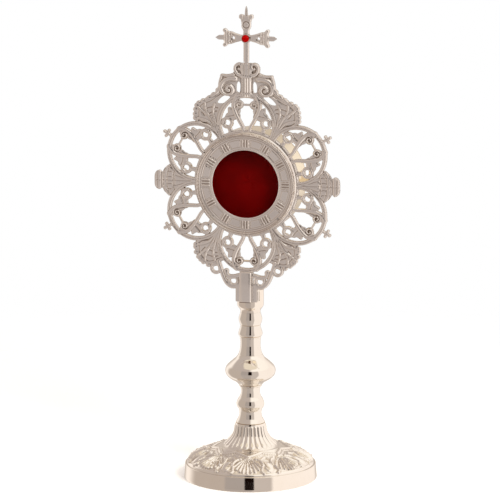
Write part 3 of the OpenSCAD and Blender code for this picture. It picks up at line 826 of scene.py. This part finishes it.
def wrapped(name, grid, material, sharp=35.0, hollow=None):
    """Mesh of a grid of points that closes both ways: round the axis, and round the outline."""
    n, m, _ = grid.shape
    i, j = np.meshgrid(np.arange(n), np.arange(m), indexing="ij")
    i2, j2 = (i + 1) % n, (j + 1) % m
    quads = np.stack([i * m + j, i2 * m + j, i2 * m + j2, i * m + j2], -1).reshape(-1, 4)
    if hollow is not None:
        hollow = np.asarray(hollow).ravel()
    obj = new_object(name, grid.reshape(-1, 3) * MM, [tuple(q) for q in quads.tolist()], material,
                     hollow, sharp)
    bm = bmesh.new()
    bm.from_mesh(obj.data)
    bmesh.ops.remove_doubles(bm, verts=bm.verts, dist=1e-7)
    bmesh.ops.recalc_face_normals(bm, faces=bm.faces)
    bm.to_mesh(obj.data)
    bm.free()
    obj.data.set_sharp_from_angle(angle=math.radians(sharp))
    return obj


def place(obj, body, slot, *nodes):
    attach(obj, body)
    if nodes:
        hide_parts(*nodes)


def make_plate():
    plate = cast_plate("glory_plate", plate_relief, *PLATE_FIELD, PITCH, GLORY_Z, PLATE_BACK, CAST)
    foot = glory_low.z
    rib = block("rib", (-3.72, glory_low.y, foot), (3.72, PLATE_FRONT + 1.0, foot + 19.6), CAST, 0.5)
    seat = block("seat", (-7.0, PLATE_BACK - 0.6, foot), (7.0, glory_high.y, foot + 8.0), CAST, 0.3)
    # Painted shade along the foot of the rib and the seat, in the gap where the tang sits on the stem cap
    for piece in (rib, seat):
        paint_foot_shade(piece, foot + 0.4)
    plate = join([plate, rib, seat])
    place(plate, "body", "cast_silver", "glory_frame")


def make_cross():
    back = cross_high.y
    low = (cross_low.x - 1.0, cross_low.z + 4.0 - GEM_Z)
    high = (cross_high.x + 1.0, cross_high.z - GEM_Z + 0.6)
    cross = cast_plate("cross_casting", cross_relief, low, high, 0.2, GEM_Z,
                       CROSS_BACK, CAST, 0.12)
    tenon = block("tenon", (-1.2, CROSS_BACK - 1.4, cross_low.z), (1.2, back, GEM_Z - 12.0), CAST, 0.15)
    place(join([cross, tenon]), "body", "cast_silver", "cross_body")


def seam_wear(heights, seams):
    """How far each point lies in the dark line of a seam: seams gives (height, strength)."""
    wear_and_shade = np.zeros(len(heights))
    for at, strength in seams:
        wear_and_shade = np.maximum(wear_and_shade, strength * (np.abs(heights - at) < 0.26))
    return wear_and_shade


STEM = {
    "lower_stem": [(9.4, 35.7), (8.8, 36.9), (7.7, 38.9), (7.1, 40.9), (7.1, 42.9), (7.8, 44.9),
                   (8.75, 46.8), (8.85, 48.5), (8.1, 50.7), (6.9, 52.6), (6.15, 54.6), (6.05, 56.6),
                   (6.4, 58.6), (6.5, 59.2)],
    "knop_collar": [(6.9, 59.2), (7.25, 59.5), (7.3, 59.8), (7.2, 60.15), (7.0, 60.4)],
    "knop": [(7.4, 60.4), (9.4, 62.5), (12.7, 64.4), (14.9, 66.4), (15.9, 68.4), (16.0, 70.2),
             (15.3, 72.3), (13.6, 74.2), (11.35, 76.2), (9.0, 78.2), (7.7, 80.2)],
    "upper_stem": [(7.7, 80.2), (7.0, 82.2), (6.65, 84.0), (6.45, 86.0), (6.45, 88.0), (6.6, 89.8),
                   (6.8, 91.2)],
    "lower_bead_ring": [(6.8, 91.2), (6.85, 92.1), (7.45, 92.6), (7.75, 93.8), (7.2, 95.8), (6.6, 97.7),
                        (6.4, 99.4)],
    "upper_bead_ring": [(6.5, 99.4), (7.2, 101.4), (7.5, 103.4), (7.0, 105.4), (6.5, 107.2), (6.4, 107.8)],
}
# Height and strength of the dark line round a piece: the seam under it, or the step in its outline
STEM_LINES = {"lower_stem": (35.7, 1.0), "knop_collar": (59.2, 0.6), "knop": (60.4, 0.6),
              "lower_bead_ring": (92.15, 0.6), "upper_bead_ring": (99.4, 0.6)}
STEM_BORE = 2.25


def make_stem():
    for node, points in STEM.items():
        points = smooth(points, 8)
        low, high = points[0], points[-1]
        # Fine rounded edges at both seams
        side = np.vstack([(low[0] - 0.12, low[1]), points[1:-1], (high[0] - 0.12, high[1])])
        outline = np.vstack([(STEM_BORE, low[1]), side, (STEM_BORE, high[1])])
        wear_and_shade = seam_wear(outline[:, 1], [STEM_LINES[node]] if node in STEM_LINES else [])
        piece = turned(node + "_turned", outline, TURNED, wear_and_shade=wear_and_shade, sharp=60.0)
        place(piece, "body", "polished_silver", node)


FAN_AZIMUTH = math.radians(12.0)
FANS = 8
FAN_RIBS = 36.0  # full turn's worth of ribs in a fan
FAN_ROOT, FAN_REACH = 24.6, 15.4
TONGUES = 24
TONGUE_END = 19.0  # radius where the neck's tongues stop
BAND_TOP = 9.35  # height of the plain band


def emboss(r, azimuth, z):
    """How far the foot's embossing stands out at radius r, height z and this angle round the foot."""
    turn = azimuth - FAN_AZIMUTH
    fan = math.tau / FANS
    t = np.abs(turn - np.round(turn / fan) * fan)
    q = r * t
    mid = r * (fan / 2 - t)
    # Tongues down the neck
    step = math.tau / TONGUES
    side = np.abs((turn / step - np.floor(turn / step)) - 0.5) * step * r
    half = np.maximum(step * r / 2, 0.1)
    end = np.clip(r - 15.0, 0, None)
    rest = np.clip((NECK_TOP - 0.9 - z) / 1.2, 0, 1)
    tongue = np.where(r < TONGUE_END, dome(np.clip(np.hypot(side, end) / half, 0, 1), 0.6), 0) * 0.75 * rest
    h = tongue - 0.35 * rest * (r < TONGUE_END)
    # Wavy garland with its points at the fans, and a fine line beside it
    wave = 25.2 - 4.4 * (t / (fan / 2)) ** 0.75
    h = h + 1.0 * dome(np.clip(np.abs(r - wave) / 1.1, 0, 1), 0.8)
    h = h + 0.4 * dome(np.clip(np.abs(r - wave - 2.0) / 0.6, 0, 1), 0.8)
    # Fans of fine ribs
    dp = r - FAN_ROOT
    reach, spread = np.hypot(dp, q), np.arctan2(q, dp)
    ribs = 0.5 - 0.5 * np.cos(spread * FAN_RIBS)
    inside = np.minimum(FAN_REACH - 0.8 * ribs - reach, (0.82 - spread) * reach)
    body = np.clip(inside / 0.8, 0, 1) * (dp > 0)
    h = h + body * (1.05 - 0.85 * ribs * np.clip((reach - 2.0) / 3.0, 0, 1))
    # Smooth shields between the fans, each in a scrolled rim
    e = np.hypot((r - 34.6) / 4.6, mid / 3.3)
    h = h + 1.1 * dome(np.clip(e, 0, 1), 0.7)
    scrolls = [(1.0, [(27.4, 4.6), (28.6, 7.4), (31.4, 9.3), (35.0, 9.9), (38.2, 9.2), (39.6, 11.0)]),
               (0.8, [(28.0, 8.4), (26.2, 10.0), (26.6, 12.0)])]
    for rise, path in scrolls:
        d, _ = line_distance(r, q, smooth(path, 3))
        h = h + rise * dome(np.clip(d / 0.75, 0, 1), 0.7)
    # Low roll along the band's edge
    return h + 0.4 * dome(np.clip(np.abs(r - 40.0) / 0.7, 0, 1))


def make_foot():
    fine = 14
    dome_line = smooth([(40.8, 9.6), (39.3, 11.3), (36.6, 13.3), (28.0, 17.2), (20.0, 20.4), (15.5, 23.0),
                        (12.1, 26.6), (10.7, 29.1), (10.1, 31.5), (9.8, 33.8), (9.3, NECK_TOP)], fine)
    band = np.array([(42.2, 0.0), (42.44, 0.1), (FOOT_R, 0.25), (42.4, 1.5), (42.2, 4.0), (42.0, 6.5),
                     (41.81, 8.9), (41.75, 9.2), (41.6, BAND_TOP), (41.2, 9.4)])
    inside = smooth([(14.4, 20.6), (19.4, 18.9), (27.2, 15.7), (35.0, 11.7), (39.6, 8.7), (40.5, 0.0)], 6)
    top = NECK_TOP - 2.5
    outline = np.vstack([band, dome_line, [(STEM_BORE, NECK_TOP), (STEM_BORE, top), (6.4, top), (6.4, 21.6),
                                           (13.0, 21.6)], inside])
    worked = np.zeros(len(outline), bool)
    worked[len(band):len(band) + len(dome_line)] = True
    along = np.gradient(outline, axis=0)
    length = np.maximum(np.linalg.norm(along, axis=1), 1e-6)
    out = np.column_stack([along[:, 1], -along[:, 0]]) / length[:, None]
    out[-1] = out[0] = (1, 0)
    a, r, z = once_round(outline, 520)
    azimuth = a + math.pi / 2 + 0 * r
    h = np.where(worked[None, :], emboss(r, azimuth, z), 0)
    # The embossing's hollows are darkened: patina and painted shade
    mean = (np.roll(h, 3, 0) + np.roll(h, -3, 0) + np.roll(h, 3, 1) + np.roll(h, -3, 1)) / 4
    wear_and_shade = np.clip((mean - h) * 2.2 - 0.08, 0, 0.8) * worked[None, :]
    lines = seam_wear(outline[:, 1], [(NECK_TOP, 1.0)]) * worked
    lines[len(band) - 1:len(band) + 1] = 0.6
    wear_and_shade = np.maximum(wear_and_shade, lines[None, :])
    r2 = r + h * out[None, :, 0]
    z2 = np.clip(z + h * out[None, :, 1], 0, NECK_TOP)
    grid = np.stack([r2 * np.cos(a), r2 * np.sin(a), z2], -1)
    foot = wrapped("foot_embossed", grid, EMBOSSED, 50.0, wear_and_shade)
    foot.data.materials.append(POLISHED)
    for face in foot.data.polygons:
        face.material_index = int(face.center.z < BAND_TOP * MM)
    place(foot, "body", "polished_silver", "foot_shell")


BEZEL_MARKS = 12
BEZEL_MID = 26.0  # radius of the middle of the marks


def make_bezel():
    """Bezel turned about the window's axis, with groups of three radial bars and panels in its face."""
    rim = smooth([(31.85, 1.5), (31.85, 4.5), (31.75, 5.1), (31.6, 5.3), (31.4, 5.0), (31.2, 5.25),
                  (31.0, 5.0), (30.85, 4.4), (30.7, 3.4), (30.4, 2.7)], 3)
    face = np.linspace((30.2, 2.5), (22.6, 1.95), 36)
    lip = smooth([(22.35, 2.2), (22.1, 2.45), (21.8, 2.45), (21.5, 2.2), (21.4, 1.8)], 3)
    steps = [(28.3, -3.8), (28.3, 0.0), (32.5, 0.0), (32.6, 0.1), (32.6, 0.6), (32.5, 0.7),
             (31.95, 1.3)]
    seat = [(21.4, -0.6), (26.7, -0.6), (26.7, -3.8)]
    outline = np.vstack([steps, rim, face, lip, seat])
    worked = np.zeros(len(outline), bool)
    start = len(steps) + len(rim)
    worked[start:start + len(face)] = True
    a, r, depth = once_round(outline, 720)
    turn = a / (math.tau / BEZEL_MARKS) + 0 * r
    off = np.abs(turn - np.round(turn)) * (math.tau / BEZEL_MARKS) * r
    aside = np.abs(r - BEZEL_MID)
    span = np.clip((2.7 - aside) / 0.4, 0, 1)
    bars = dome(np.clip(np.minimum(off, np.abs(off - 1.75)) / 0.6, 0, 1), 0.7) * span
    gaps = span * np.clip((2.7 - off) / 0.3, 0, 1) * (1 - bars)
    panel = np.minimum(off - 3.4, 2.3 - aside)
    line = np.clip(groove(r - 29.5, 0.35) + groove(panel, 0.35), 0, 1)
    h = np.where(worked[None, :], 0.5 * bars - 0.15 * gaps - 0.25 * line, 0)
    # Darker between the bars and along the panels' grooves: painted shade
    wear_and_shade = np.maximum(gaps * 0.6, line * 0.4) * worked[None, :]
    # Painted shade: dark lines in the rim's groove, at its inner foot and round the flange
    for at, strength in (((31.4, 5.0), 0.8), ((30.45, 2.75), 0.8), ((31.95, 1.3), 0.35)):
        line = np.clip(1.3 - np.hypot(*(outline - at).T) / 0.2, 0, 1)
        wear_and_shade = np.maximum(wear_and_shade, strength * line[None, :])
    y = PLATE_FRONT - depth - h
    grid = np.stack([r * np.cos(a), y, GLORY_Z + r * np.sin(a)], -1)
    place(wrapped("bezel_turned", grid, BRIGHT_CAST, 40.0, wear_and_shade), "body", "cast_silver", "front_bezel")


def make_gem():
    """Round cut stone: a small table, two rows of facets and a flat back."""
    front, back = gem_low.y, gem_high.y
    rows = [(1.15, front, 8, 0.0), (1.85, front + 0.42, 8, 0.5), (2.4, front + 0.92, 16, 0.25),
            (2.4, back, 16, 0.25)]
    bm = bmesh.new()
    for r, y, n, shift in rows:
        for k in range(n):
            angle = (k + shift) / n * math.tau
            bm.verts.new(Vector((r * math.cos(angle), y, GEM_Z + r * math.sin(angle))) * MM)
    bmesh.ops.convex_hull(bm, input=bm.verts[:])
    gem = from_bmesh("gem_cut", bm, STONE)
    gem.data.shade_flat()
    place(gem, "body", "red_stone", "cross_gem")


def make_pad():
    """Velvet cushion: crowned at the front, pulled in at its edge, flat on the tray behind."""
    r1, front, back = pad_high.x, pad_low.y, pad_high.y
    profile = [(0.01, front + 0.02)]
    profile += [(r1 * t, front + 0.02 + 0.85 * t ** 3) for t in np.linspace(0.1, 0.9, 14)]
    profile += [(r1 * 0.955, front + 0.98), (r1 * 0.985, front + 1.3), (r1, front + 1.75),
                (r1 - 0.15, back - 0.3), (r1 - 0.6, back), (0.01, back)]
    outline = smooth(profile, 2)
    a, r, y = once_round(outline, 120)
    sag = 0.06 * np.sin(3 * a + 0.7) * (r / r1) ** 2 + 0.05 * np.sin(5 * a + r * 0.35)
    y = np.where(y < front + 1.0, np.maximum(y + sag + 0.05, front), y)
    grid = np.stack([r * np.cos(a), y, GLORY_Z + r * np.sin(a)], -1)
    pad = wrapped("velvet_cushion", grid, VELVET, 60.0)
    place(pad, "door", "red_velvet", "velvet_pad")


# ---- Scene ----

def make_stage():
    bpy.ops.mesh.primitive_circle_add(vertices=96, radius=0.6, fill_type="NGON")
    floor = bpy.context.object
    floor.name = "studio_floor"
    floor.data.materials.append(floor_material())
    floor.visible_glossy = False


def make_world():
    """Studio seen in the metal: cream light on the right, grey cards on the left, a dark gap between."""
    world = bpy.data.worlds.new("studio")
    world.use_nodes = True
    bpy.context.scene.world = world
    tree = world.node_tree
    tree.nodes.clear()

    def math_node(operation, *values):
        node = add_node(tree, "ShaderNodeMath", operation=operation)
        for i, value in enumerate(values):
            if isinstance(value, (int, float)):
                node.inputs[i].default_value = value
            else:
                tree.links.new(value, node.inputs[i])
        return node.outputs[0]

    def smooth_step(value, low, high):
        node = add_node(tree, "ShaderNodeMapRange", interpolation_type="SMOOTHSTEP", From_Min=low,
                        From_Max=high)
        tree.links.new(value, node.inputs["Value"])
        return node.outputs["Result"]

    def mix(factor, a, b):
        node = add_node(tree, "ShaderNodeMix", data_type="RGBA")
        tree.links.new(factor, node.inputs[0])
        for slot, value in ((6, a), (7, b)):
            if isinstance(value, tuple):
                node.inputs[slot].default_value = (*value, 1.0)
            else:
                tree.links.new(value, node.inputs[slot])
        return node.outputs[2]

    where = add_node(tree, "ShaderNodeTexCoord")
    parts = add_node(tree, "ShaderNodeSeparateXYZ")
    tree.links.new(where.outputs["Generated"], parts.inputs[0])
    # Angle round the object from the camera's side, positive to the right
    a = math.radians(VIEW_AZIMUTH)
    ahead = math_node("ADD", math_node("MULTIPLY", parts.outputs[0], math.sin(a)),
                      math_node("MULTIPLY", parts.outputs[1], -math.cos(a)))
    right = math_node("ADD", math_node("MULTIPLY", parts.outputs[0], math.cos(a)),
                      math_node("MULTIPLY", parts.outputs[1], math.sin(a)))
    angle = math_node("ARCTAN2", right, ahead)
    height = parts.outputs[2]
    left_card = (0.54, 0.462, 0.412)
    near_card = (0.43, 0.378, 0.355)
    plate_card = (0.475, 0.418, 0.392)
    right_card = (0.60, 0.53, 0.49)
    cream = (1.06, 0.965, 0.90)
    rear_card = (0.64, 0.56, 0.50)
    near = mix(smooth_step(height, -0.10, -0.14), near_card, plate_card)
    walls = mix(smooth_step(angle, -0.83, -0.74), left_card, near)
    walls = mix(smooth_step(angle, 0.0, 0.1), walls, right_card)
    walls = mix(smooth_step(angle, 0.60, 0.72), walls, cream)
    walls = mix(smooth_step(angle, -1.9, -2.4), walls, cream)
    walls = mix(smooth_step(math_node("ABSOLUTE", angle), 2.5, 2.9), walls, rear_card)
    gap = smooth_step(math_node("ABSOLUTE", math_node("ADD", angle, 0.036)), 0.155, 0.13)
    gap = math_node("MULTIPLY", gap, smooth_step(height, 0.66, 0.56))
    gap = math_node("MULTIPLY", gap, smooth_step(height, -0.16, -0.10))
    walls = mix(gap, walls, (0.008, 0.0035, 0.0025))
    over = mix(smooth_step(right, -0.12, 0.16), (0.54, 0.465, 0.43), (1.10, 1.03, 0.96))
    over = mix(smooth_step(height, 0.92, 0.95), over, (0.86, 0.76, 0.63))
    ceiling = mix(smooth_step(height, 0.50, 0.66), walls, over)
    ray = add_node(tree, "ShaderNodeLightPath")
    studio = add_node(tree, "ShaderNodeBackground", Strength=1.0)
    tree.links.new(ceiling, studio.inputs["Color"])
    plain = add_node(tree, "ShaderNodeBackground", Color=(1.0, 1.0, 1.0, 1.0), Strength=1.0)
    choose = add_node(tree, "ShaderNodeMixShader")
    tree.links.new(ray.outputs["Is Camera Ray"], choose.inputs[0])
    tree.links.new(studio.outputs[0], choose.inputs[1])
    tree.links.new(plain.outputs[0], choose.inputs[2])
    output = add_node(tree, "ShaderNodeOutputWorld")
    tree.links.new(choose.outputs[0], output.inputs["Surface"])


LIGHT_AIM = Vector((0, 0, 150))  # the stem, half-way up


def make_light(name, place_mm, size_mm, power, colour):
    data = bpy.data.lights.new(name, "AREA")
    data.shape = "RECTANGLE"
    data.size, data.size_y = size_mm[0] * MM, size_mm[1] * MM
    data.energy = power
    data.color = colour
    light = linked(name, data)
    aim_at(light, Vector(place_mm), LIGHT_AIM)
    light.visible_glossy = False


def dress_cad():
    finishes = {"polished_silver": POLISHED, "cast_silver": CAST, "steel": STEEL, "red_stone": STONE,
                "clear_glass": PANE, "red_velvet": VELVET}
    for part in frame["record"]["subparts"]:
        obj = frame["nodes"][part["node"]]
        obj.data.materials.clear()
        obj.data.materials.append(DRUM if part["node"] == "case_drum" else finishes[part["material_slot"]])


make_camera()
dress_cad()
make_plate()
make_cross()
make_gem()
make_bezel()
make_pad()
make_stem()
make_foot()
make_stage()
make_world()
make_light("key", (900, -900, 900), (500, 700), 18.0, (1.0, 0.95, 0.88))
make_light("fill", (-900, -600, 500), (500, 700), 5.0, (1.0, 0.96, 0.92))
bpy.context.scene.view_settings.view_transform = "Standard"
bpy.context.scene.render.film_transparent = False
